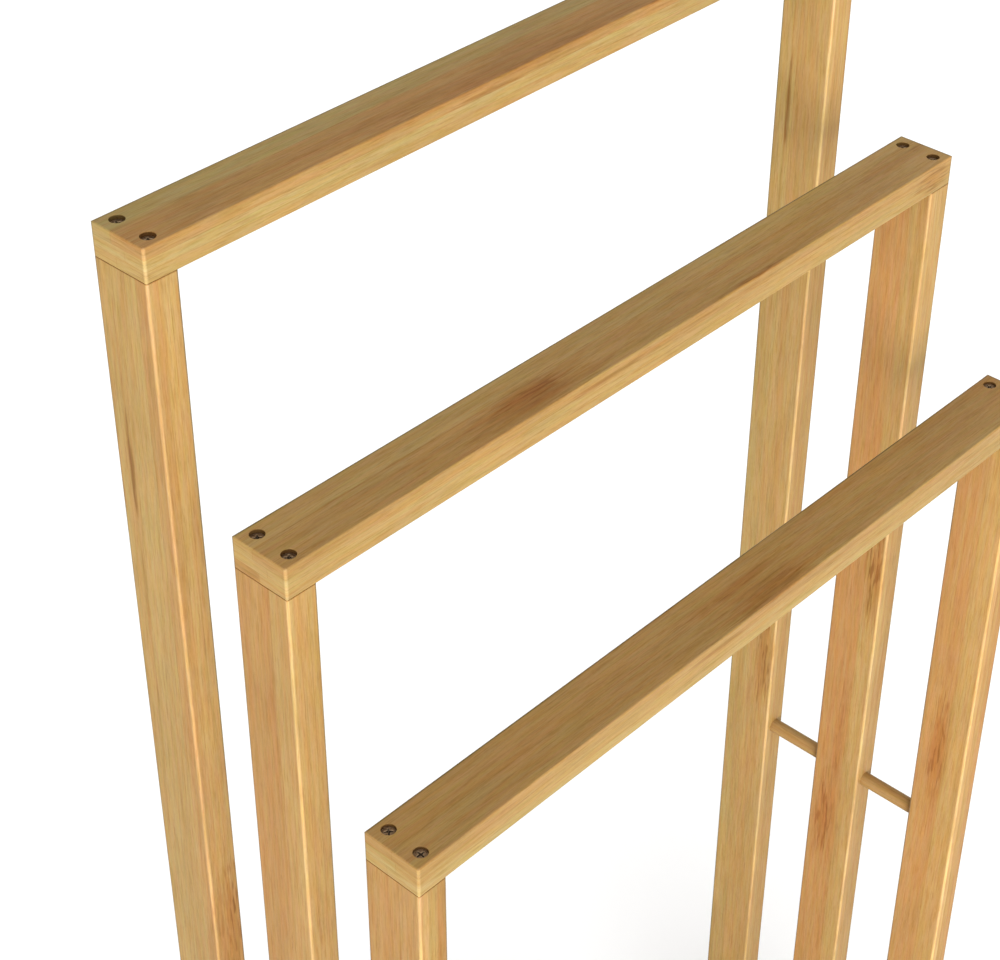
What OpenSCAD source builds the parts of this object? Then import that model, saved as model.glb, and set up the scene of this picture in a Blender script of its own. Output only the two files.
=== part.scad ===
// Free-standing bamboo towel rack: three upright frames that step down from back to front.
// The origin is on the floor, midway between the two foot runners and midway along them.
// +X runs along the towel rails to the right, +Y to the tall rear frame and +Z up. Millimetres.

/* [Rack] */
// Overall width, along the towel rails
rack_w = 420; // [360:10:520]
// Overall height, floor to the top of the rear rail
rack_h = 825; // [760:5:900]
// How much lower each rail is than the one behind it
rail_step = 106.7; // [90:0.1:120]
// Distance from one frame to the next, front face to front face
frame_pitch = 64; // [52:1:80]
// Front-to-back length of the foot runners
runner_l = 240; // [220:5:300]

/* [Bamboo bars] */
// Wide side of the bar section
bar_w = 29; // [27:0.5:34]
// Narrow side of the bar section
bar_t = 14.5; // [13.5:0.5:17]
// Radius of the eased edges
edge_r = 0.7; // [0.6:0.1:2]
// Radius of the edges on the underside of a rail, where it meets its posts
joint_r = 0.5; // [0.2:0.1:0.6]

/* [Spacer rods] */
// Diameter of the round rods between the frames
rod_d = 8; // [6:0.5:9]
// Height of the rods' centre line above the floor
rod_z = 322; // [200:1:420]
// Depth that each rod end is glued into its post
rod_insert = 10; // [6:1:12]

/* [Lower stretchers] */
// Height of the underside of the stretchers above the floor
stretcher_z = 60; // [55:1:75]

/* [Screws] */
// Outer diameter of the screw shank
screw_d = 3; // [2.5:0.1:3.5]
// Screw length, head included
screw_l = 35; // [30:1:40]
// Diameter of the countersunk head
head_d = 5.8; // [5.2:0.1:6.2]
// Diameter of the counterbore above the head
counterbore_d = 6.2; // [6.2:0.1:6.8]
// Distance between the two screws of a joint
screw_pair = 17; // [15:0.5:19]
// How far the heads sit below the surface in the front rail
front_sink = 1.1; // [1:0.1:2.5]
// How far the heads sit below the surface everywhere else
deep_sink = 1.6; // [1:0.1:3]

/* [Foot pads] */
// Diameter of the anti-slip pads under the runners
pad_d = 18; // [14:1:24]
// Thickness of the pads
pad_t = 2; // [1.5:0.5:3]
// Distance from a runner's end to the centre of its pad
pad_inset = 15; // [13:1:22]

/* [Hidden] */
$fn = 48;

LEFT = -1;
RIGHT = 1;
FRONT = 0;
MIDDLE = 1;
REAR = 2;
SIDES = [LEFT, RIGHT];

wood = "#d2a868";
rod_wood = "#d6aa66";
steel = "#87735f";
rubber = "#2e2b28";

// Middle of each frame front to back, and the height of each rail's top, by frame number
frame_y = [-frame_pitch, 0, frame_pitch];
rail_top = [rack_h - 2 * rail_step, rack_h - rail_step, rack_h];
rail_sink = [front_sink, deep_sink, deep_sink];

runner_top = pad_t + bar_t;
post_x = (rack_w - bar_t) / 2;
runner_x = (rack_w - bar_w) / 2;
stretcher_mid_z = stretcher_z + bar_w / 2;
stretcher_l = rack_w - 2 * bar_t;
rod_gap = frame_pitch - bar_w;

// Screw: the shank clears the bar it passes through and fills a pilot hole in the next one
head_rim = 0.3;
head_h = 1.9;
tip_h = 4;
tip_d = 0.4;
clearance_d = screw_d + 0.4;
pilot_room = 0.5;
recess_span = 3.4;
recess_floor = 1.2;
recess_depth = 1.3;
recess_wing = 0.8;
glue_room = 0.5;
rod_chamfer = 0.5;
cut = 1;

// ---------- shared shapes ----------

// Rectangle with round corners, centred on the origin
module soft_rect(w, h, r) {
    square([w - 2 * r, h], center = true);
    square([w, h - 2 * r], center = true);
    for (x = [-1, 1], y = [-1, 1])
        translate([x * (w / 2 - r), y * (h / 2 - r)]) circle(r = r);
}

// Side or end view of a finished bar: eased corners above, nearly sharp ones below
module bar_view(w, h) {
    intersection() {
        translate([0, -h / 2]) soft_rect(w, 2 * h, edge_r);
        translate([0, h / 2]) soft_rect(w, 2 * h, joint_r);
    }
}

// Bar lying along X, eased on every edge, centred in plan with its top at z = 0
module finished_bar(l) {
    translate([0, 0, -bar_t / 2]) intersection() {
        rotate([90, 0, 90]) linear_extrude(l, center = true) bar_view(bar_w, bar_t);
        rotate([90, 0, 0]) linear_extrude(bar_w, center = true) bar_view(l, bar_t);
        linear_extrude(bar_t, center = true) soft_rect(l, bar_w, edge_r);
    }
}

// Bar standing on z = 0, eased along its length and sawn square at both ends
module butted_bar(l) {
    linear_extrude(l) soft_rect(bar_t, bar_w, edge_r);
}

// Cross recess in a screw head, sunk from z = 0
module cross_recess() {
    intersection() {
        translate([0, 0, -recess_depth])
            cylinder(d1 = recess_floor, d2 = recess_span, h = recess_depth + 0.01);
        for (a = [0, 90])
            rotate(a) cube([recess_span, recess_wing, 2 * recess_depth + cut], center = true);
    }
}

// Countersunk screw, pointing down, with the top of its head at z = 0
module screw() {
    shank_l = screw_l - head_h - tip_h;
    color(steel) difference() {
        union() {
            translate([0, 0, -head_rim]) cylinder(d = head_d, h = head_rim);
            translate([0, 0, -head_h]) cylinder(d1 = screw_d, d2 = head_d, h = head_h - head_rim);
            translate([0, 0, -head_h - shank_l]) cylinder(d = screw_d, h = shank_l);
            translate([0, 0, -screw_l]) cylinder(d1 = tip_d, d2 = screw_d, h = tip_h);
        }
        cross_recess();
    }
}

// Counterbore, countersink and clearance hole for a screw whose head is sink below z = 0
module screw_seat(sink) {
    translate([0, 0, -sink - head_rim]) cylinder(d = counterbore_d, h = sink + head_rim + cut);
    translate([0, 0, -sink - head_h]) cylinder(d1 = screw_d, d2 = head_d, h = head_h - head_rim);
    translate([0, 0, -bar_t - cut]) cylinder(d = clearance_d, h = bar_t + cut - sink - head_h / 2);
}

// Pilot hole below z = 0, as deep as the screw goes past the bar that it clamps
module pilot_hole(sink) {
    depth = screw_l + sink - bar_t + pilot_room;
    translate([0, 0, -depth]) cylinder(d = screw_d, h = depth + cut);
}

// The two screw places of a joint, side by side along Y
module screw_pair_places() {
    for (s = [-1, 1]) translate([0, s * screw_pair / 2, 0]) children();
}

// ---------- places ----------

// At the top of a rail, above one of its posts
module at_rail_top(frame, side) {
    translate([side * post_x, frame_y[frame], rail_top[frame]]) children();
}

// At the underside of a runner below a post, with z pointing down to the floor
module at_runner_underside(frame, side) {
    translate([side * post_x, frame_y[frame], pad_t]) rotate([180, 0, 0]) children();
}

// On a post's outer face at stretcher height, with z pointing outwards and y up and down
module at_stretcher_joint(frame, side) {
    translate([side * rack_w / 2, frame_y[frame], stretcher_mid_z])
        rotate([0, side * 90, 0]) rotate([0, 0, 90]) children();
}

// On the post faces that a row of rods enters: towards the front (-1) or the back (+1)
module at_rod_hole(frame, side, towards) {
    translate([side * post_x, frame_y[frame] + towards * bar_w / 2, rod_z])
        rotate([-towards * 90, 0, 0]) children();
}

// ---------- sub-parts ----------

// Flat towel rail on top of a frame
module rail(frame) {
    color(wood) difference() {
        translate([0, frame_y[frame], rail_top[frame]]) finished_bar(rack_w);
        for (side = SIDES)
            at_rail_top(frame, side) screw_pair_places() screw_seat(rail_sink[frame]);
    }
}

// Upright between a runner and the end of a rail
module post(frame, side) {
    rail_bottom = rail_top[frame] - bar_t;
    color(wood) difference() {
        translate([side * post_x, frame_y[frame], runner_top]) butted_bar(rail_bottom - runner_top);
        at_rail_top(frame, side) translate([0, 0, -bar_t])
            screw_pair_places() pilot_hole(rail_sink[frame]);
        at_runner_underside(frame, side) translate([0, 0, -bar_t])
            screw_pair_places() pilot_hole(deep_sink);
        if (frame != MIDDLE)
            at_stretcher_joint(frame, side) screw_pair_places() screw_seat(deep_sink);
        if (frame != FRONT) at_rod_hole(frame, side, -1) rod_hole();
        if (frame != REAR) at_rod_hole(frame, side, 1) rod_hole();
    }
}

// Blind hole for a rod end, sunk from z = 0
module rod_hole() {
    translate([0, 0, -rod_insert - glue_room]) cylinder(d = rod_d, h = rod_insert + glue_room + cut);
}

// Round rod from the given frame to the frame behind it
module rod(frame, side) {
    l = rod_gap + 2 * rod_insert;
    color(rod_wood) translate([side * post_x, frame_y[frame] + frame_pitch / 2, rod_z])
        rotate([90, 0, 0]) union() {
            cylinder(d = rod_d, h = l - 2 * rod_chamfer, center = true);
            for (end = [0, 1]) mirror([0, 0, end]) translate([0, 0, l / 2 - rod_chamfer])
                cylinder(d1 = rod_d, d2 = rod_d - 2 * rod_chamfer, h = rod_chamfer);
        }
}

// Foot that the three posts of one side stand on
module runner(side) {
    color(wood) difference() {
        translate([side * runner_x, 0, runner_top]) rotate(90) finished_bar(runner_l);
        for (frame = [FRONT, MIDDLE, REAR])
            at_runner_underside(frame, side) screw_pair_places() screw_seat(deep_sink);
    }
}

// Low cross bar, on edge between the two posts of a frame
module stretcher(frame) {
    color(wood) difference() {
        translate([-stretcher_l / 2, frame_y[frame], stretcher_mid_z])
            rotate([0, 90, 0]) rotate(90) butted_bar(stretcher_l);
        for (side = SIDES)
            at_stretcher_joint(frame, side) translate([0, 0, -bar_t])
                screw_pair_places() pilot_hole(deep_sink);
    }
}

// The four screws that hold a rail on its posts
module rail_screws(frame) {
    for (side = SIDES)
        at_rail_top(frame, side) screw_pair_places() translate([0, 0, -rail_sink[frame]]) screw();
}

// The six screws that hold a runner under its posts
module runner_screws(side) {
    for (frame = [FRONT, MIDDLE, REAR])
        at_runner_underside(frame, side) screw_pair_places() translate([0, 0, -deep_sink]) screw();
}

// The four screws that hold both stretchers to the posts of one side
module stretcher_screws(side) {
    for (frame = [FRONT, REAR])
        at_stretcher_joint(frame, side) screw_pair_places() translate([0, 0, -deep_sink]) screw();
}

// Anti-slip pad under one end of a runner, towards the front (-1) or the back (+1)
module pad(side, towards) {
    color(rubber) translate([side * runner_x, towards * (runner_l / 2 - pad_inset), 0])
        cylinder(d = pad_d, h = pad_t);
}

rail(REAR);  // rear_rail
rail(MIDDLE);  // middle_rail
rail(FRONT);  // front_rail
post(REAR, LEFT);  // rear_post_left
post(REAR, RIGHT);  // rear_post_right
post(MIDDLE, LEFT);  // middle_post_left
post(MIDDLE, RIGHT);  // middle_post_right
post(FRONT, LEFT);  // front_post_left
post(FRONT, RIGHT);  // front_post_right
rod(MIDDLE, LEFT);  // rear_rod_left
rod(MIDDLE, RIGHT);  // rear_rod_right
rod(FRONT, LEFT);  // front_rod_left
rod(FRONT, RIGHT);  // front_rod_right
runner(LEFT);  // runner_left
runner(RIGHT);  // runner_right
stretcher(REAR);  // rear_stretcher
stretcher(FRONT);  // front_stretcher
rail_screws(REAR);  // rear_rail_screws
rail_screws(MIDDLE);  // middle_rail_screws
rail_screws(FRONT);  // front_rail_screws
runner_screws(LEFT);  // runner_screws_left
runner_screws(RIGHT);  // runner_screws_right
stretcher_screws(LEFT);  // stretcher_screws_left
stretcher_screws(RIGHT);  // stretcher_screws_right
pad(LEFT, 1);  // rear_pad_left
pad(RIGHT, 1);  // rear_pad_right
pad(LEFT, -1);  // front_pad_left
pad(RIGHT, -1);  // front_pad_right
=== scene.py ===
import math
import random

import bmesh
import bpy
from mathutils import Matrix, Vector


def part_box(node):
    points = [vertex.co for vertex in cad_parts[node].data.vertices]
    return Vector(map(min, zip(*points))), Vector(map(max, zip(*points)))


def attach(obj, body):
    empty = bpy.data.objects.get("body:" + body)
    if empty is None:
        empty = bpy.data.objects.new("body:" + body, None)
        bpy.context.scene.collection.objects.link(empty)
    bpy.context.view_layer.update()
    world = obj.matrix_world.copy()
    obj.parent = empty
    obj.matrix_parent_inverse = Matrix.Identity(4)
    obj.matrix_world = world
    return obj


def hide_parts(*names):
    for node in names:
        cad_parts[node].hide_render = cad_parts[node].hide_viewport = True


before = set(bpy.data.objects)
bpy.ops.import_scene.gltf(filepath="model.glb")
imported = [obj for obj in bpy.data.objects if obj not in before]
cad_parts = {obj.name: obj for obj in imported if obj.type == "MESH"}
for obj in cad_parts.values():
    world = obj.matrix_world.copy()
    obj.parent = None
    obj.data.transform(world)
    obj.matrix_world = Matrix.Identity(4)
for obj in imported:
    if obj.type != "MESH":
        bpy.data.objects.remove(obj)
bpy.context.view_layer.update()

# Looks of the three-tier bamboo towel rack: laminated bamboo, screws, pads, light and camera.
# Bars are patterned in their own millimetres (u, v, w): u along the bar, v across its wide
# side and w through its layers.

MM = 0.001
ROOT = "root"

# ---------- shader graph helper ----------


class Graph:
    """Builds a node tree; every input may be a number, a vector or another node's output."""

    def __init__(self, tree):
        self.tree = tree

    def add(self, kind, inputs=None, **settings):
        node = self.tree.nodes.new("ShaderNode" + kind)
        for name, value in settings.items():
            setattr(node, name, value)
        for key, value in (inputs or {}).items():
            if isinstance(value, bpy.types.NodeSocket):
                self.tree.links.new(value, node.inputs[key])
            else:
                node.inputs[key].default_value = value
        return node

    def math(self, operation, a, b=0.0, c=0.0, clamp=False):
        return self.add("Math", {0: a, 1: b, 2: c}, operation=operation, use_clamp=clamp).outputs[0]

    def vector(self, operation, a, b=(0, 0, 0), c=(0, 0, 0)):
        return self.add("VectorMath", {0: a, 1: b, 2: c}, operation=operation).outputs[0]

    def scaled(self, vector, factor):
        node = self.add("VectorMath", {0: vector, "Scale": factor}, operation="SCALE")
        return node.outputs[0]

    def length(self, vector):
        return self.add("VectorMath", {0: vector}, operation="LENGTH").outputs["Value"]

    def noise(self, vector, detail=2.0, roughness=0.5):
        inputs = {"Vector": vector, "Scale": 1.0, "Detail": detail, "Roughness": roughness}
        return self.add("TexNoise", inputs).outputs["Fac"]

    def ramp(self, value, low, high, out_low=0.0, out_high=1.0):
        """Smooth step of value from low to high."""
        inputs = {0: value, 1: low, 2: high, 3: out_low, 4: out_high}
        return self.add("MapRange", inputs, interpolation_type="SMOOTHSTEP").outputs[0]

    def parts(self, vector):
        return self.add("SeparateXYZ", {0: vector}).outputs

    def join(self, x, y, z):
        return self.add("CombineXYZ", {0: x, 1: y, 2: z}).outputs[0]

    def mix(self, factor, a, b):
        """Vector or colour from a to b."""
        node = self.add("Mix", {"Factor": factor, 4: a, 5: b}, data_type="VECTOR")
        return node.outputs[1]

    def tint(self, colour, amount, tone):
        """Colour multiplied by tone, as far as amount says."""
        return self.vector("MULTIPLY", colour, self.mix(amount, (1, 1, 1), tone))


def new_group(name, inputs, outputs):
    """A node group with these sockets: returns its tree, a graph, and its input sockets."""
    tree = bpy.data.node_groups.new(name, "ShaderNodeTree")
    for label, kind in inputs:
        tree.interface.new_socket(label, in_out="INPUT", socket_type="NodeSocket" + kind)
    for label, kind in outputs:
        tree.interface.new_socket(label, in_out="OUTPUT", socket_type="NodeSocket" + kind)
    graph = Graph(tree)
    return tree, graph, tree.nodes.new("NodeGroupInput").outputs


def close_group(tree, outputs):
    node = tree.nodes.new("NodeGroupOutput")
    for label, socket in outputs.items():
        tree.links.new(socket, node.inputs[label])
    return tree


def use_group(graph, tree, inputs):
    return graph.add("Group", inputs, node_tree=tree).outputs


# ---------- bamboo ----------

# Size of each kind of grain, in mm along, across and through the bar
GRAIN_RUNS = {
    "Fibre": ((11, 0.55, 0.55), 2.0, 0.6),
    "Bundle": ((28, 1.5, 1.5), 2.0, 0.6),
    "Band": ((240, 5.5, 5.5), 1.0, 0.5),
    "Drift": ((60, 15, 15), 1.0, 0.5),
    "Hue": ((26, 2.2, 2.2), 2.0, 0.6),
    "Warmth": ((14, 2.0, 2.0), 2.0, 0.65),
    "Grit": ((2.2, 0.6, 0.6), 2.0, 0.6),
}
FRAY_SIZE = (14, 0.9, 0.9)
DASH_SIZE = (16, 1.5, 1.5)


def per(size):
    return [1 / part for part in size]


def grain_group():
    """The fibres of solid bamboo, from the point in the bar: masks from 0 to 1."""
    tree, g, given = new_group(
        "bamboo_grain",
        [("Bar", "Vector"), ("Seed", "Float")],
        [(name, "Float") for name in GRAIN_RUNS],
    )
    point = g.vector("ADD", given["Bar"], g.scaled((137.0, 31.0, 17.0), given["Seed"]))
    made = {}
    for name, (size, detail, roughness) in GRAIN_RUNS.items():
        made[name] = g.noise(g.vector("MULTIPLY", point, per(size)), detail, roughness)
    return close_group(tree, made)


def mark_group():
    """A mark in one strip: a soft stain with frayed ends, its core, and dark dashes in that."""
    tree, g, given = new_group(
        "bamboo_mark",
        [("Bar", "Vector"), ("Centre", "Vector"), ("Reach", "Vector")],
        [("Stain", "Float"), ("Dash", "Float"), ("Core", "Float")],
    )
    fray = g.noise(g.vector("MULTIPLY", given["Bar"], per(FRAY_SIZE)), 1.0)
    fray = g.math("MULTIPLY_ADD", fray, 1.6, -0.8)
    away = g.vector("SUBTRACT", given["Bar"], given["Centre"])
    away = g.vector("DIVIDE", away, given["Reach"])
    away = g.vector("ADD", away, g.join(fray, 0.0, 0.0))
    distance = g.length(away)
    stain = g.ramp(distance, 1.15, 0.1)
    dashes = g.noise(g.vector("MULTIPLY", given["Bar"], per(DASH_SIZE)), 1.0)
    dashes = g.ramp(dashes, 0.50, 0.62)
    core = g.ramp(distance, 1.0, 0.3)
    dashes = g.math("MULTIPLY", dashes, core)
    return close_group(tree, {"Stain": stain, "Dash": dashes, "Core": core})


# Colour of the strips, as factors on the plain bamboo colour
RAIL_PLAIN = (0.300, 0.196, 0.0705)
POST_PLAIN = (0.318, 0.195, 0.0685)
TONES = {
    "gold": (1.03, 1.04, 1.05),
    "wheat": (1.06, 1.08, 1.13),
    "blond": (1.17, 1.15, 1.17),
    "pale": (1.10, 1.12, 1.16),
    "straw": (1.02, 1.10, 1.14),
    "sage": (0.98, 1.04, 1.05),
    "olive": (0.90, 0.98, 0.96),
    "khaki": (0.89, 0.91, 0.82),
    "sand": (1.01, 0.96, 0.84),
    "umber": (0.99, 0.93, 0.92),
    "clay": (0.99, 0.91, 0.88),
    "tan": (0.89, 0.79, 0.71),
    "honey": (0.99, 0.95, 0.96),
    "peach": (1.12, 0.99, 1.01),
    "rose": (1.00, 0.87, 0.80),
}
FIBRE_TONE = (0.86, 0.80, 0.72)
BUNDLE_TONE = (0.92, 0.89, 0.86)
BAND_TONE = (0.95, 0.90, 0.85)
GREEN_TONE = (0.965, 1.02, 0.985)
ORANGE_TONE = (1.035, 0.975, 0.955)
COOL_TONE = (1.0, 1.005, 1.11)
WARM_TONE = (1.0, 0.995, 0.89)
STAIN_TONES = {"node": (0.87, 0.72, 0.59), "streak": (0.85, 0.77, 0.66)}
DASH_TONE = (0.70, 0.60, 0.50)
GLUE_TONE = (0.90, 0.84, 0.76)
JOINT_TONE = (0.80, 0.70, 0.58)
# Painted shade inside the counterbores
HOLE_SHADE_TONE = (0.20, 0.13, 0.09)
END_TONE = (1.06, 1.04, 1.01)
WORN_TONE = (1.04, 1.04, 1.03)
# Painted highlight on the upright corners, standing in for the light caught by the eased arrises
CORNER_HIGHLIGHT_TONE = (1.34, 1.42, 1.70)
NOSING_TONE = (1.07, 1.09, 1.12)
# Painted shade in a thin line along the corners that outline a bar
RIM_SHADE_TONE = (0.40, 0.44, 0.47)

# Thickness of a layer in mm, and how softly strips and layers change tone at their seams
LAYER = 14.5 / 3
SEAM_SOFT = 1.1
LAYER_SOFT = 0.35


class Bar:
    """A wooden node with its own directions: (axis, sign) of u, v and w, from the given box."""

    def __init__(self, name, along, across, layers):
        self.name = name
        lo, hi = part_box(name)
        self.turns = []
        for axis, sign in (along, across, layers):
            start = lo[axis] if sign > 0 else hi[axis]
            self.turns.append((axis, sign / MM, -sign * start / MM))
        self.size = [abs(hi[axis] - lo[axis]) / MM for axis, _, _ in self.turns]
        self.butted = "rail" not in name and "runner" not in name
        self.upright = "post" in name

    def point(self, place):
        """A place in metres as the bar's own millimetres."""
        return Vector([place[axis] * scale + offset for axis, scale, offset in self.turns])

    def direction(self):
        """Unit vector along the bar."""
        return [1.0 if axis == self.turns[0][0] else 0.0 for axis in (0, 1, 2)]

    def nodes(self, g):
        """The point on the surface in the bar's own millimetres, whole and in parts."""
        axes = g.parts(g.add("TexCoord").outputs["Object"])
        own = [g.math("MULTIPLY_ADD", axes[a], scale, offset) for a, scale, offset in self.turns]
        return g.join(*own), own


def strip_colour(g, own, grain, strips):
    """Colour of the strip at the point, and how near the point is to a glue line."""
    u, v, w = own
    wander = g.math("MULTIPLY_ADD", grain["Drift"], 1.4, -0.7)
    v = g.math("ADD", v, wander)
    w = g.math("MULTIPLY_ADD", grain["Drift"], 0.7, g.math("SUBTRACT", w, 0.35))
    colour = None
    glue = None
    for depth, (seam, front, back) in enumerate(strips):
        side = g.ramp(v, seam - SEAM_SOFT, seam + SEAM_SOFT)
        tone = g.mix(side, TONES[front], TONES[back])
        line = g.math("ABSOLUTE", g.math("SUBTRACT", v, seam))
        if depth == 0:
            colour, glue = tone, line
            continue
        edge = depth * LAYER
        below = g.ramp(w, edge - LAYER_SOFT, edge + LAYER_SOFT)
        colour = g.mix(below, colour, tone)
        glue = g.add("Mix", {"Factor": below, 2: glue, 3: line}, data_type="FLOAT").outputs[0]
        glue = g.math("MINIMUM", glue, g.math("ABSOLUTE", g.math("SUBTRACT", w, edge)))
    return colour, glue


def bamboo_shader(g, colour, roughness, height):
    bump = g.add("Bump", {"Strength": 0.35, "Distance": 0.00008, "Height": height})
    shader = g.add(
        "BsdfPrincipled",
        {
            "Base Color": colour,
            "Roughness": roughness,
            "IOR": 1.46,
            "Specular IOR Level": 0.08,
            "Coat Weight": 0.03,
            "Coat Roughness": 0.20,
            "Coat IOR": 1.45,
            "Normal": bump.outputs[0],
        },
    )
    g.tree.links.new(shader.outputs[0], g.add("OutputMaterial").inputs[0])


def new_material(name, tone):
    material = bpy.data.materials.new(name)
    material.use_nodes = True
    material.node_tree.nodes.clear()
    material.diffuse_color = (*tone, 1)
    return material, Graph(material.node_tree)


def fibre_mask(g, grain):
    return g.ramp(grain["Fibre"], 0.46, 0.72)


def grain_colour(g, colour, grain):
    """Fibres, tone bands and small shifts of hue over the colour."""
    colour = g.tint(colour, g.ramp(grain["Band"], 0.35, 0.65), BAND_TONE)
    colour = g.tint(colour, g.ramp(grain["Bundle"], 0.42, 0.66), BUNDLE_TONE)
    colour = g.tint(colour, fibre_mask(g, grain), FIBRE_TONE)
    hue = g.mix(g.ramp(grain["Hue"], 0.32, 0.68), GREEN_TONE, ORANGE_TONE)
    warmth = g.mix(g.ramp(grain["Warmth"], 0.32, 0.68), COOL_TONE, WARM_TONE)
    colour = g.vector("MULTIPLY", colour, g.vector("MULTIPLY", hue, warmth))
    colour = g.scaled(colour, g.ramp(grain["Drift"], 0.25, 0.75, 0.98, 1.06))
    return g.scaled(colour, g.ramp(grain["Grit"], 0.2, 0.8, 0.95, 1.05))


def marked(g, colour, point, marks):
    """Colour with its marks, each (kind, u, v, w, reach u, v, w, stain, dark)."""
    for kind, *place, stain, dark in marks:
        mark = use_group(g, MARK, {"Bar": point, "Centre": place[:3], "Reach": place[3:]})
        colour = g.tint(colour, g.math("MULTIPLY", mark["Stain"], stain), STAIN_TONES[kind])
        core = mark["Dash" if kind == "node" else "Core"]
        colour = g.tint(colour, g.math("MULTIPLY", core, dark), DASH_TONE)
    return colour


def rubbed(g, colour, bar, inset, uneven):
    """Eased edges are sanded a little paler, and the upright corners get a painted highlight."""
    along = g.math("MAXIMUM", inset[1], inset[2])
    corner = along if bar.upright else g.math("MAXIMUM", inset[0], inset[1])
    # The first pass is paler sanded wear, the second a painted highlight on the corners
    for depth, reach, tone in ((along, 1.0, WORN_TONE), (corner, 1.35, CORNER_HIGHLIGHT_TONE)):
        worn = g.math("MULTIPLY", g.ramp(depth, reach, reach * 0.45), uneven)
        colour = g.tint(colour, worn, tone)
    return colour


def painted_outline_shade(g, colour, bar, own, uneven):
    """A thin line of painted shade on the corners that outline a rail or a post in the photo."""
    u, v, w = own
    far, back, deep = [g.math("SUBTRACT", size, c) for c, size in zip(own, bar.size)]
    pairs = [(back, w), (v, deep)] if bar.upright else [(back, w), (back, u), (far, w), (far, v)]
    outline_shade, *others = [g.math("MAXIMUM", *pair) for pair in pairs]
    for other in others:
        outline_shade = g.math("MINIMUM", outline_shade, other)
    return g.tint(colour, g.math("MULTIPLY", g.ramp(outline_shade, 1.3, 0.6), uneven), RIM_SHADE_TONE)


def holed_and_shaded(g, colour, roughness, own, holes):
    """Rougher raw wood inside the counterbores, its colour darkened with painted shade."""
    u, v, w = own
    for hole in holes:
        spread = g.vector("SUBTRACT", g.join(u, v, 0.0), (hole[0], hole[1], 0.0))
        inside = g.ramp(g.length(spread), 3.3, 3.02)
        inside = g.math("MULTIPLY", inside, g.ramp(w, 0.05, 0.5))
        colour = g.tint(colour, inside, HOLE_SHADE_TONE)
        roughness = g.math("MULTIPLY_ADD", inside, 0.4, roughness)
    return colour, roughness


def bar_grain(g, own, end, seed, slope):
    """Fibres run a little askew. On a sawn end the layers show as fine lines across it."""
    u, v, w = own
    askew = g.join(u, g.math("MULTIPLY_ADD", u, slope, v), w)
    grain_point = g.mix(end, askew, g.join(v, u, w))
    return use_group(g, GRAIN, {"Bar": grain_point, "Seed": seed})


def bar_material(bar, strips, marks, holes, seed, slope):
    """Laminated bamboo for one bar."""
    plain = POST_PLAIN if bar.upright else RAIL_PLAIN
    material, g = new_material("bamboo_" + bar.name, plain)
    point, own = bar.nodes(g)
    v, w = own[1:]
    facing = g.vector("MULTIPLY", g.add("NewGeometry").outputs["Normal"], bar.direction())
    end = g.ramp(g.length(facing), 0.70, 0.90)
    grain = bar_grain(g, own, end, seed, slope)

    strip, glue = strip_colour(g, own, grain, strips)
    colour = grain_colour(g, g.vector("MULTIPLY", strip, plain), grain)
    colour = g.tint(colour, g.ramp(glue, 0.25, 0.05), GLUE_TONE)
    if bar.upright:
        nosing = g.math("MAXIMUM", g.math("MULTIPLY", v, 4.0), w)
        colour = g.tint(colour, g.ramp(nosing, LAYER + 0.3, LAYER - 0.3), NOSING_TONE)
    colour = marked(g, colour, point, marks)

    inset = [g.math("MINIMUM", c, g.math("SUBTRACT", size, c)) for c, size in zip(own, bar.size)]
    uneven = g.ramp(grain["Drift"], 0.3, 0.6, 0.6, 1.0)
    # Paler sanded edges, and a painted highlight on the upright corners
    colour = rubbed(g, colour, bar, inset, uneven)
    colour = g.tint(colour, end, END_TONE)
    # Painted shade along the corners that outline the bar
    colour = painted_outline_shade(g, colour, bar, own, uneven)
    # The end of a butted bar is edged with dark glue
    if bar.butted:
        colour = g.tint(colour, g.ramp(inset[0], 0.5, 0.2), JOINT_TONE)

    roughness = g.ramp(grain["Bundle"], 0.3, 0.7, 0.36, 0.48)
    # Counterbores: rougher raw wood, darkened with painted shade
    colour, roughness = holed_and_shaded(g, colour, roughness, own, holes)
    grit = g.math("MULTIPLY", grain["Grit"], 0.4)
    height = g.math("MULTIPLY_ADD", fibre_mask(g, grain), -0.6, grit)
    bamboo_shader(g, colour, roughness, height)
    return material


GRAIN = grain_group()
MARK = mark_group()

X, Y, Z = 0, 1, 2
RAIL = ((X, 1), (Y, 1), (Z, -1))
POST = ((Z, -1), (Y, 1), (X, 1))
RUNNER = ((Y, 1), (X, 1), (Z, -1))
STRETCHER = ((X, 1), (Z, -1), (Y, 1))

RAIL_FRONT_STREAK = ("streak", 174, 1, 3.9, 28, 3, 1.5, 1.0, 0.5)
RAIL_FRONT_LINE = ("streak", 245, 1, 3.2, 90, 3, 1.0, 0.7, 0.0)
POST_STREAK = ("streak", 90, 21.2, 0, 30, 1.8, 3, 1.0, 0.9)
POST_LINE = ("node", 120, 21.6, 0, 130, 0.9, 2, 0.5, 0.2)

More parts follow.
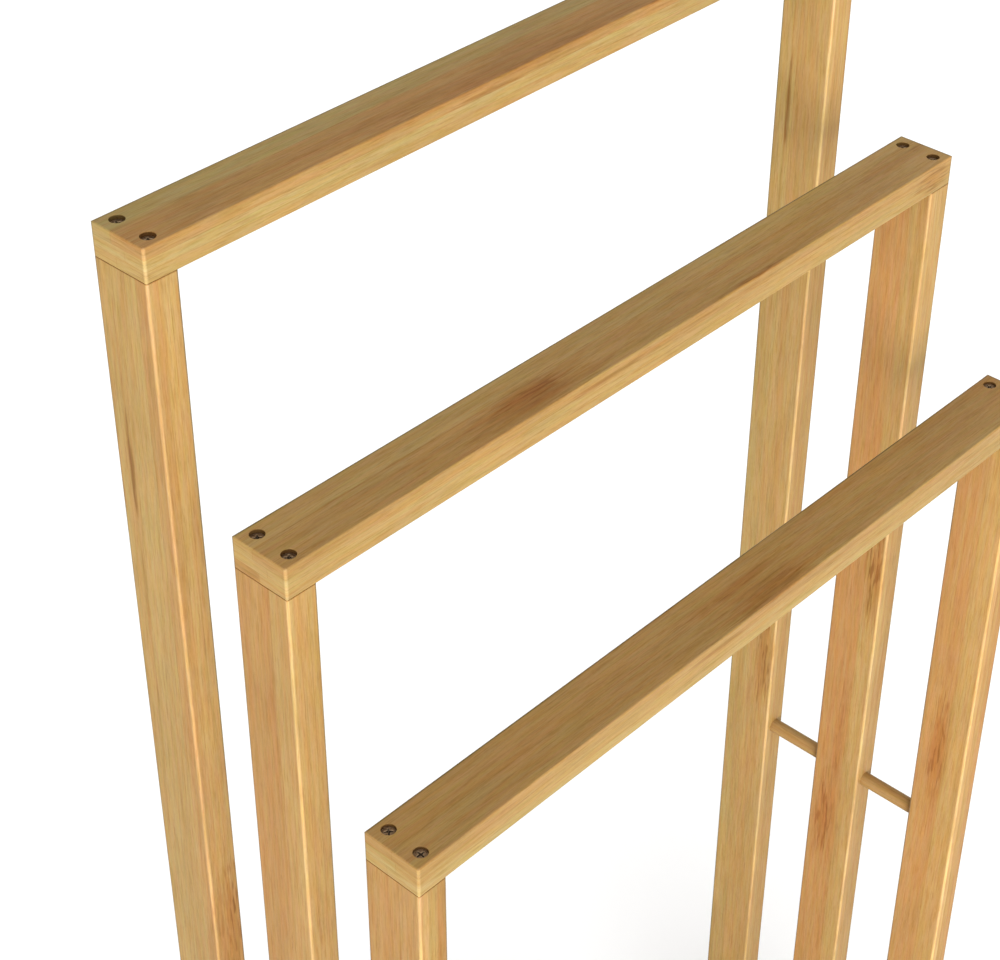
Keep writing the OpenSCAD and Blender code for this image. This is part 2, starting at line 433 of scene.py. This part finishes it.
# For each bar: its directions, its three layers of strips (seam, tone before and after it),
# and its marks
BARS = {
    "rear_rail": (
        RAIL,
        ((18, "clay", "olive"), (11, "straw", "straw"), (16, "gold", "gold")),
        (
            RAIL_FRONT_STREAK,
            RAIL_FRONT_LINE,
            ("node", 200, 2, 0, 110, 4, 4, 0.6, 0.3),
            ("node", 150, 9, 0, 80, 5, 4, 0.3, 0.2),
            ("node", 200, 7, 0, 420, 15, 2.4, 0.6, 0.0),
        ),
    ),
    "middle_rail": (
        RAIL,
        ((17.5, "umber", "gold"), (10, "gold", "gold"), (15, "gold", "tan")),
        (
            RAIL_FRONT_STREAK,
            RAIL_FRONT_LINE,
            ("node", 138, 9, 0, 40, 13, 4, 1.0, 0.25),
            ("node", 141, 12, 0, 24, 7, 3, 0.7, 0.6),
            ("node", 95, 8, 0, 60, 9, 4, 0.4, 0.0),
            ("node", 70, 17.4, 0, 75, 0.9, 2, 0.8, 0.3),
            ("node", 268, 1.2, 0, 30, 1.8, 1, 0.9, 0.9),
            ("node", 395, 18, 0, 38, 6, 3, 0.6, 0.3),
            ("node", 405, 0, 7, 17, 3, 9, 0.8, 1.0),
        ),
    ),
    "front_rail": (
        RAIL,
        ((14, "umber", "clay"), (12, "gold", "straw"), (17, "straw", "gold")),
        (
            RAIL_FRONT_STREAK,
            RAIL_FRONT_LINE,
            ("node", 220, 5, 0, 40, 11, 3, 1.0, 0.45),
            ("node", 212, 17.5, 0, 50, 4, 3, 1.0, 0.4),
            ("node", 330, 25, 0, 120, 3, 4, 0.4, 0.2),
        ),
    ),
    "rear_post_left": (
        POST,
        ((6.5, "honey", "sage"), (9, "pale", "gold"), (20, "wheat", "gold")),
        (
            POST_STREAK,
            POST_LINE,
            ("node", 345, 1, 8, 70, 4, 12, 1.0, 0.6),
            ("node", 318, 1, 12, 30, 3, 5, 0.5, 1.0),
        ),
    ),
    "rear_post_right": (
        POST,
        ((18, "wheat", "straw"), (9, "gold", "gold"), (20, "gold", "gold")),
        (POST_STREAK, POST_LINE, ("node", 432, 5.4, 0, 48, 8, 4, 1.0, 0.9)),
    ),
    "middle_post_left": (
        POST,
        ((10.5, "gold", "clay"), (18, "wheat", "gold"), (14, "gold", "gold")),
        (("node", 82, 12, 0, 60, 1, 2, 0.4, 0.2),),
    ),
    "middle_post_right": (
        POST,
        ((10.5, "pale", "peach"), (18, "wheat", "gold"), (14, "gold", "gold")),
        (
            ("node", 230, 5, 0, 44, 9, 4, 1.0, 1.0),
            ("node", 421, 19.5, 0, 38, 9, 4, 1.0, 0.9),
            ("node", 360, 15.5, 0, 60, 4, 4, 0.7, 0.4),
        ),
    ),
    "front_post_left": (
        POST,
        ((11, "honey", "clay"), (16, "khaki", "gold"), (9, "tan", "gold")),
        (("node", 60, 11.2, 0, 90, 0.8, 2, 0.6, 0.2), ("node", 150, 18, 0, 20, 5, 4, 0.7, 0.7)),
    ),
    "front_post_right": (
        POST,
        ((12.5, "blond", "peach"), (16, "sand", "gold"), (9, "rose", "gold")),
        (("node", 219, 17, 0, 52, 8, 4, 1.0, 0.8),),
    ),
    "runner_left": (
        RUNNER,
        ((16, "gold", "straw"), (10, "gold", "rose"), (13, "gold", "tan")),
        (("node", 160, 8, 0, 22, 6, 4, 0.7, 0.7),),
    ),
    "runner_right": (
        RUNNER,
        ((13, "straw", "gold"), (18, "rose", "gold"), (11, "gold", "gold")),
        (("node", 60, 20, 0, 20, 6, 4, 0.7, 0.7),),
    ),
    "rear_stretcher": (
        STRETCHER,
        ((14, "gold", "rose"), (18, "gold", "gold"), (12, "straw", "gold")),
        (("node", 250, 20, 0, 24, 6, 5, 0.7, 0.7),),
    ),
    "front_stretcher": (
        STRETCHER,
        ((17, "straw", "gold"), (11, "gold", "rose"), (15, "gold", "gold")),
        (("node", 130, 8, 0, 24, 5, 5, 0.7, 0.7),),
    ),
}


def paint_bars():
    rng = random.Random(11)
    places = screw_places()
    for number, (name, (turns, strips, marks)) in enumerate(BARS.items()):
        bar = Bar(name, *turns)
        holes = [bar.point(place) for host, place, _ in places if host == name]
        slope = rng.uniform(0.006, 0.018) * rng.choice((-1, 1))
        material = bar_material(bar, strips, marks, holes, number + 1.0, slope)
        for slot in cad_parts[name].material_slots:
            slot.material = material


# ---------- rods ----------

RODS = ("rear_rod_left", "rear_rod_right", "front_rod_left", "front_rod_right")
ROD_PLAIN = (0.308, 0.184, 0.067)
# A post hides the first ROD_HIDDEN mm of a rod, and the next SHADE_RUN mm are darker
ROD_SHADE = (0.60, 0.54, 0.46)
ROD_HIDDEN = 10.0
SHADE_RUN = 6.0
TURNING_MARKS = 5.2


def paint_rods():
    """Turned bamboo dowel: long fibres with faint turning rings."""
    for number, name in enumerate(RODS):
        material, g = new_material("dowel_" + name, ROD_PLAIN)
        bar = Bar(name, (Y, 1), (X, 1), (Z, -1))
        point, own = bar.nodes(g)
        grain = use_group(g, GRAIN, {"Bar": point, "Seed": number + 31.0})
        colour = grain_colour(g, ROD_PLAIN, grain)
        colour = g.tint(colour, g.ramp(own[0], ROD_HIDDEN + SHADE_RUN, ROD_HIDDEN), ROD_SHADE)
        ring = g.math("SINE", g.math("MULTIPLY", own[0], TURNING_MARKS))
        ring = g.math("MULTIPLY", ring, 0.05)
        height = g.math("MULTIPLY_ADD", fibre_mask(g, grain), -0.6, ring)
        roughness = g.ramp(grain["Bundle"], 0.3, 0.7, 0.42, 0.56)
        bamboo_shader(g, colour, roughness, height)
        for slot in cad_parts[name].material_slots:
            slot.material = material


# ---------- screws ----------

HEAD_D = 5.8
SCREW_L = 35.0
SHANK_D = 3.0
STEEL = ((0.14, 0.088, 0.046), (0.26, 0.162, 0.088), (0.46, 0.33, 0.20))
RECESS = ((0.05, 0.033, 0.019), (0.08, 0.053, 0.031), (0.14, 0.10, 0.06))
UP, DOWN = Vector((0, 0, 1)), Vector((0, 0, -1))
LEFTWARDS, RIGHTWARDS = Vector((-1, 0, 0)), Vector((1, 0, 0))
FRAMES = ("rear", "middle", "front")


def screw_places():
    """For every screw: the bar its head sits in, the middle of its head, and where it points."""
    return [screw for group in SCREW_GROUPS.values() for screw in group]


def pair_offset(lo, hi, axis):
    """Half the distance between the two screws of a pair, from a box round a pair's heads."""
    return (hi[axis] - lo[axis]) / 2 - HEAD_D / 2 * MM


def rail_screws(tier):
    lo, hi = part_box(tier + "_rail_screws")
    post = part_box(tier + "_post_left")
    middle = (post[0] + post[1]) / 2
    half = pair_offset(lo, hi, Y)
    return [
        (tier + "_rail", Vector((side * middle.x, middle.y + s * half, hi.z)), DOWN)
        for side in (1, -1)
        for s in (-1, 1)
    ]


def runner_screws(side):
    lo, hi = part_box("runner_screws_" + side)
    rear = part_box("rear_post_left")
    half = hi.y - HEAD_D / 2 * MM - (rear[0].y + rear[1].y) / 2
    made = []
    for tier in FRAMES:
        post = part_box(f"{tier}_post_{side}")
        middle = (post[0] + post[1]) / 2
        made += [
            ("runner_" + side, Vector((middle.x, middle.y + s * half, lo.z)), UP) for s in (-1, 1)
        ]
    return made


def stretcher_screws(side):
    lo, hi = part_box("stretcher_screws_" + side)
    half = pair_offset(lo, hi, Z)
    middle_z = (lo.z + hi.z) / 2
    made = []
    for tier in ("rear", "front"):
        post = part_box(f"{tier}_post_{side}")
        y = (post[0].y + post[1].y) / 2
        x, way = (lo.x, RIGHTWARDS) if side == "left" else (hi.x, LEFTWARDS)
        made += [
            (f"{tier}_post_{side}", Vector((x, y, middle_z + s * half)), way) for s in (-1, 1)
        ]
    return made


SCREW_GROUPS = {f"{tier}_rail_screws": rail_screws(tier) for tier in FRAMES}
for _side in ("left", "right"):
    SCREW_GROUPS["runner_screws_" + _side] = runner_screws(_side)
    SCREW_GROUPS["stretcher_screws_" + _side] = stretcher_screws(_side)

AROUND = 64
RECESS_RINGS = 22
HEAD_DOME = 0.16
RECESS_DEPTH = 1.2
RECESS_SPAN = 2.0
WING = 0.32
THREAD_PITCH = 1.35
THREAD_HEIGHT = 0.34
THREAD_STEPS = 16
POINT_L = 4.5
HEAD_RIM = HEAD_D / 2
# Rounded rim, countersink and neck of a screw, (radius, height)
HEAD_PROFILE = [
    (HEAD_RIM, -0.24), (HEAD_RIM, -0.34), (HEAD_RIM * 0.97, -0.44), (1.65, -1.75), (1.32, -2.0),
]


def recess_depth(x, y):
    """Depth of the cross recess under a point of the head, in mm."""
    radius = math.hypot(x, y)
    near = min(abs(x), abs(y))
    floor = RECESS_DEPTH * max(0.0, 1 - max(0.0, radius - 0.35) / (RECESS_SPAN - 0.35))
    wall = min(1.0, max(0.0, (WING + 0.12 - near) / 0.24))
    core = min(1.0, max(0.0, (0.85 - radius) / 0.3))
    return floor * max(wall * wall * (3 - 2 * wall), core)


def head_ring(bm, radius, height):
    return [
        bm.verts.new((radius * math.cos(a), radius * math.sin(a), height(radius, a)))
        for a in (2 * math.pi * i / AROUND for i in range(AROUND))
    ]


def bridge(bm, one, two):
    count = len(one)
    for i in range(count):
        j = (i + 1) % count
        bm.faces.new((one[i], two[i], two[j], one[j]))


def head_top(bm, turn):
    """The domed head with its cross recess, turned about its middle; returns its outer ring."""

    def height(radius, angle):
        x, y = radius * math.cos(angle + turn), radius * math.sin(angle + turn)
        dome = -HEAD_DOME * (radius / HEAD_RIM) ** 2
        return dome - recess_depth(x, y)

    centre = bm.verts.new((0, 0, height(0, 0)))
    steps = range(1, RECESS_RINGS + 1)
    rings = [head_ring(bm, HEAD_RIM * 0.97 * k / RECESS_RINGS, height) for k in steps]
    first = rings[0]
    for i in range(AROUND):
        bm.faces.new((centre, first[i], first[(i + 1) % AROUND]))
    for one, two in zip(rings, rings[1:]):
        bridge(bm, one, two)
    return rings[-1]


def thread(bm, last):
    """The ridge winds down the core and fades out at the point; returns the last ring."""
    core = SHANK_D / 2 - THREAD_HEIGHT
    start, stop = HEAD_PROFILE[-1][1], -SCREW_L
    steps = int((start - stop) / THREAD_PITCH * THREAD_STEPS)
    for k in range(1, steps + 1):
        z = start + (stop - start) * k / steps
        left = (z - stop) / POINT_L
        slim = min(1.0, 0.12 + left * 0.88)
        fade = min(1.0, k / 20)
        ring = []
        for i in range(AROUND):
            angle = 2 * math.pi * i / AROUND
            phase = (z / THREAD_PITCH + angle / (2 * math.pi)) % 1
            ridge = max(0.0, 1 - abs(phase - 0.5) / 0.22)
            radius = (core + THREAD_HEIGHT * ridge * fade) * slim
            ring.append(bm.verts.new((radius * math.cos(angle), radius * math.sin(angle), z)))
        bridge(bm, last, ring)
        last = ring
    return last


def mark_recess(bm, turn):
    """Give the faces inside the cross recess the second material."""
    unturn = Matrix.Rotation(turn, 3, "Z")
    for face in bm.faces:
        place = unturn @ face.calc_center_median()
        if place.z > -RECESS_DEPTH - 2 * HEAD_DOME and recess_depth(place.x, place.y) > 0.2:
            face.material_index = 1


def screw_mesh(turn):
    """One countersunk screw, pointing down, the highest part of its head at z = 0."""
    bm = bmesh.new()
    last = head_top(bm, turn)
    for radius, z in HEAD_PROFILE:
        ring = head_ring(bm, radius, lambda r, a, z=z: z)
        bridge(bm, last, ring)
        last = ring
    bm.faces.new(thread(bm, last))
    bmesh.ops.recalc_face_normals(bm, faces=bm.faces)
    mark_recess(bm, turn)
    return bm


def screw_material(name, dark, light, rubbed):
    """Bronzed steel, mottled, and rubbed brighter on its edges."""
    material, g = new_material(name, light)
    point = g.add("TexCoord").outputs["Object"]
    spots = g.noise(g.scaled(point, 900.0), 3.0, 0.6)
    wear = g.noise(g.scaled(point, 2600.0), 2.0, 0.5)
    edge = g.add("NewGeometry").outputs["Pointiness"]
    worn = g.math("MULTIPLY", g.ramp(edge, 0.50, 0.56), g.ramp(wear, 0.35, 0.6, 0.4, 1.0))
    colour = g.mix(g.ramp(spots, 0.35, 0.65), dark, light)
    colour = g.mix(worn, colour, rubbed)
    roughness = g.ramp(spots, 0.3, 0.7, 0.42, 0.58)
    bump = g.add("Bump", {"Strength": 0.3, "Distance": 0.00003, "Height": wear})
    shader = g.add(
        "BsdfPrincipled",
        {"Base Color": colour, "Metallic": 0.8, "Roughness": roughness, "Normal": bump.outputs[0]},
    )
    g.tree.links.new(shader.outputs[0], g.add("OutputMaterial").inputs[0])
    return material


def new_piece(name, bm, materials, smooth_angle):
    """Object from a bmesh in metres, riding on the rack's one body."""
    mesh = bpy.data.meshes.new(name)
    bm.to_mesh(mesh)
    bm.free()
    for material in materials:
        mesh.materials.append(material)
    for face in mesh.polygons:
        face.use_smooth = True
    mesh.set_sharp_from_angle(angle=math.radians(smooth_angle))
    piece = bpy.data.objects.new(name, mesh)
    bpy.context.scene.collection.objects.link(piece)
    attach(piece, ROOT)
    return piece


def add_screw(whole, place, way, turn):
    """One screw into the bmesh of its group."""
    one = screw_mesh(turn)
    tilt = DOWN.rotation_difference(way).to_matrix().to_4x4()
    if way == UP:
        tilt = Matrix.Rotation(math.pi, 4, "X")
    one.transform(Matrix.Translation(place) @ tilt @ Matrix.Scale(MM, 4))
    loose = bpy.data.meshes.new("loose_screw")
    one.to_mesh(loose)
    one.free()
    whole.from_mesh(loose)
    bpy.data.meshes.remove(loose)


def build_screws():
    rng = random.Random(7)
    steel = screw_material("screw_steel", *STEEL)
    recess = screw_material("screw_recess", *RECESS)
    for group, places in SCREW_GROUPS.items():
        whole = bmesh.new()
        for _, place, way in places:
            add_screw(whole, place, way, rng.uniform(0, math.pi / 2))
        piece = new_piece("fine_" + group, whole, (steel, recess), 38)
        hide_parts(group)


# ---------- foot pads ----------

PADS = ("rear_pad_left", "rear_pad_right", "front_pad_left", "front_pad_right")
# Half section of a pad, (radius, height) as parts of its radius and its thickness
PAD_SECTION = [
    (0.0, 1.0), (0.86, 1.0), (0.93, 0.97), (0.975, 0.88), (1.0, 0.72), (1.0, 0.36),
    (0.985, 0.18), (0.95, 0.06), (0.90, 0.0), (0.80, 0.0), (0.785, 0.05), (0.775, 0.2),
    (0.74, 0.2), (0.73, 0.05), (0.715, 0.0), (0.60, 0.0), (0.585, 0.05), (0.575, 0.2),
    (0.54, 0.2), (0.53, 0.05), (0.515, 0.0), (0.40, 0.0), (0.385, 0.05), (0.375, 0.2),
    (0.34, 0.2), (0.33, 0.05), (0.315, 0.0), (0.0, 0.0),
]


def pad_material():
    """Matt moulded rubber with a fine pebble and a little dust."""
    material, g = new_material("pad_matt_rubber", (0.03, 0.028, 0.026))
    point = g.add("TexCoord").outputs["Object"]
    pebble = g.noise(g.scaled(point, 2200.0), 2.0, 0.5)
    dust = g.noise(g.scaled(point, 160.0), 3.0, 0.6)
    colour = g.mix(g.ramp(dust, 0.45, 0.75), (0.022, 0.020, 0.018), (0.060, 0.055, 0.049))
    roughness = g.ramp(dust, 0.3, 0.7, 0.62, 0.80)
    bump = g.add("Bump", {"Strength": 0.5, "Distance": 0.00006, "Height": pebble})
    shader = g.add(
        "BsdfPrincipled",
        {"Base Color": colour, "Roughness": roughness, "Normal": bump.outputs[0]},
    )
    g.tree.links.new(shader.outputs[0], g.add("OutputMaterial").inputs[0])
    return material


def pad_ring(bm, middle, radius, z):
    """Circle of points, or one point where the radius is 0."""
    if radius == 0:
        return [bm.verts.new((middle.x, middle.y, z))]
    turns = [2 * math.pi * i / AROUND for i in range(AROUND)]
    return [
        bm.verts.new((middle.x + radius * math.cos(a), middle.y + radius * math.sin(a), z))
        for a in turns
    ]


def join_rings(bm, one, two):
    """Faces between two rings, either of which may be a single point."""
    for i in range(AROUND):
        j = (i + 1) % AROUND
        if len(one) == 1:
            bm.faces.new((one[0], two[i], two[j]))
        elif len(two) == 1:
            bm.faces.new((one[i], two[0], one[j]))
        else:
            bm.faces.new((one[i], two[i], two[j], one[j]))


def build_pads():
    material = pad_material()
    for name in PADS:
        lo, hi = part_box(name)
        middle = (lo + hi) / 2
        radius, thick = (hi.x - lo.x) / 2, hi.z - lo.z
        bm = bmesh.new()
        rings = [pad_ring(bm, middle, r * radius, lo.z + z * thick) for r, z in PAD_SECTION]
        for one, two in zip(rings, rings[1:]):
            join_rings(bm, one, two)
        bmesh.ops.recalc_face_normals(bm, faces=bm.faces)
        piece = new_piece("moulded_" + name, bm, (material,), 40)
        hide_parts(name)


# ---------- studio ----------

# Camera place from the left, front, top corner of the front rail
CAMERA_FROM_CORNER = Vector((-0.40368, -0.42133, 0.61707))
CAMERA_PITCH = 35.609
CAMERA_YAW = 46.73
CAMERA_LENS = 81.42
CAMERA_SHIFT = -0.05

# The key light stands at this heading from the front, -Y, round to the left
KEY_HEADING = 34
KEY_DISTANCE = 3.0
KEY_HEIGHT = 0.46
KEY_SIZE = (2.07, 1.57)
KEY_SPREAD = 75
KEY_AIM = Vector((1.0, -0.1, 0.95))
KEY_POWER = 26.0
SKY_PLAIN = 0.90
SKY_BRIGHT = 2.2
SKY_SIDE = Vector((-0.58, -0.80, 0.0))
FLOOR_HALF = 60.0


def build_camera():
    lo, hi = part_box("front_rail")
    camera = bpy.data.objects.new("camera", bpy.data.cameras.new("camera"))
    bpy.context.scene.collection.objects.link(camera)
    camera.location = Vector((lo.x, lo.y, hi.z)) + CAMERA_FROM_CORNER
    camera.rotation_euler = (math.radians(90 - CAMERA_PITCH), 0, math.radians(-CAMERA_YAW))
    camera.data.lens = CAMERA_LENS
    camera.data.sensor_width = 36
    camera.data.shift_y = CAMERA_SHIFT
    camera.data.clip_start = 0.01
    camera.data.clip_end = 100
    bpy.context.scene.camera = camera


def build_key_light():
    """Large soft box, low in front and to the left, aimed past the right end of the rack."""
    light = bpy.data.lights.new("key_soft_box", "AREA")
    light.shape = "RECTANGLE"
    light.size, light.size_y = KEY_SIZE
    light.energy = KEY_POWER
    light.spread = math.radians(KEY_SPREAD)
    lamp = bpy.data.objects.new("key_soft_box", light)
    bpy.context.scene.collection.objects.link(lamp)
    heading = math.radians(KEY_HEADING)
    lamp.location = (
        -math.sin(heading) * KEY_DISTANCE,
        -math.cos(heading) * KEY_DISTANCE,
        KEY_HEIGHT,
    )
    lamp.rotation_euler = (KEY_AIM - lamp.location).to_track_quat("-Z", "Y").to_euler()
    lamp.visible_camera = False


def build_sky():
    """Pale studio all round, with one broad wall of light low on the camera's side."""
    world = bpy.data.worlds.new("studio")
    world.use_nodes = True
    g = Graph(world.node_tree)
    world.node_tree.nodes.clear()
    way = g.add("TexCoord").outputs["Generated"]
    towards = g.add("VectorMath", {0: way, 1: SKY_SIDE.normalized()}, operation="DOT_PRODUCT")
    strength = g.ramp(towards.outputs["Value"], 0.25, 1.0, SKY_PLAIN, SKY_PLAIN + SKY_BRIGHT)
    light = g.add("Background", {"Color": (1, 1, 1, 1), "Strength": strength})
    world.node_tree.links.new(light.outputs[0], g.add("OutputWorld").inputs[0])
    bpy.context.scene.world = world


def build_floor():
    bm = bmesh.new()
    bmesh.ops.create_grid(bm, x_segments=8, y_segments=8, size=FLOOR_HALF)
    mesh = bpy.data.meshes.new("floor")
    bm.to_mesh(mesh)
    bm.free()
    material, g = new_material("pale_floor", (0.95, 0.95, 0.95))
    point = g.add("TexCoord").outputs["Object"]
    cloud = g.noise(g.scaled(point, 3.0), 2.0)
    colour = g.mix(cloud, (0.945, 0.945, 0.94), (0.955, 0.955, 0.955))
    shader = g.add(
        "BsdfPrincipled",
        {"Base Color": colour, "Roughness": 0.9, "Specular IOR Level": 0.1},
    )
    g.tree.links.new(shader.outputs[0], g.add("OutputMaterial").inputs[0])
    mesh.materials.append(material)
    floor = bpy.data.objects.new("floor", mesh)
    bpy.context.scene.collection.objects.link(floor)


paint_bars()
paint_rods()
build_screws()
build_pads()
build_camera()
build_key_light()
build_sky()
build_floor()
bpy.context.scene.view_settings.view_transform = "Standard"
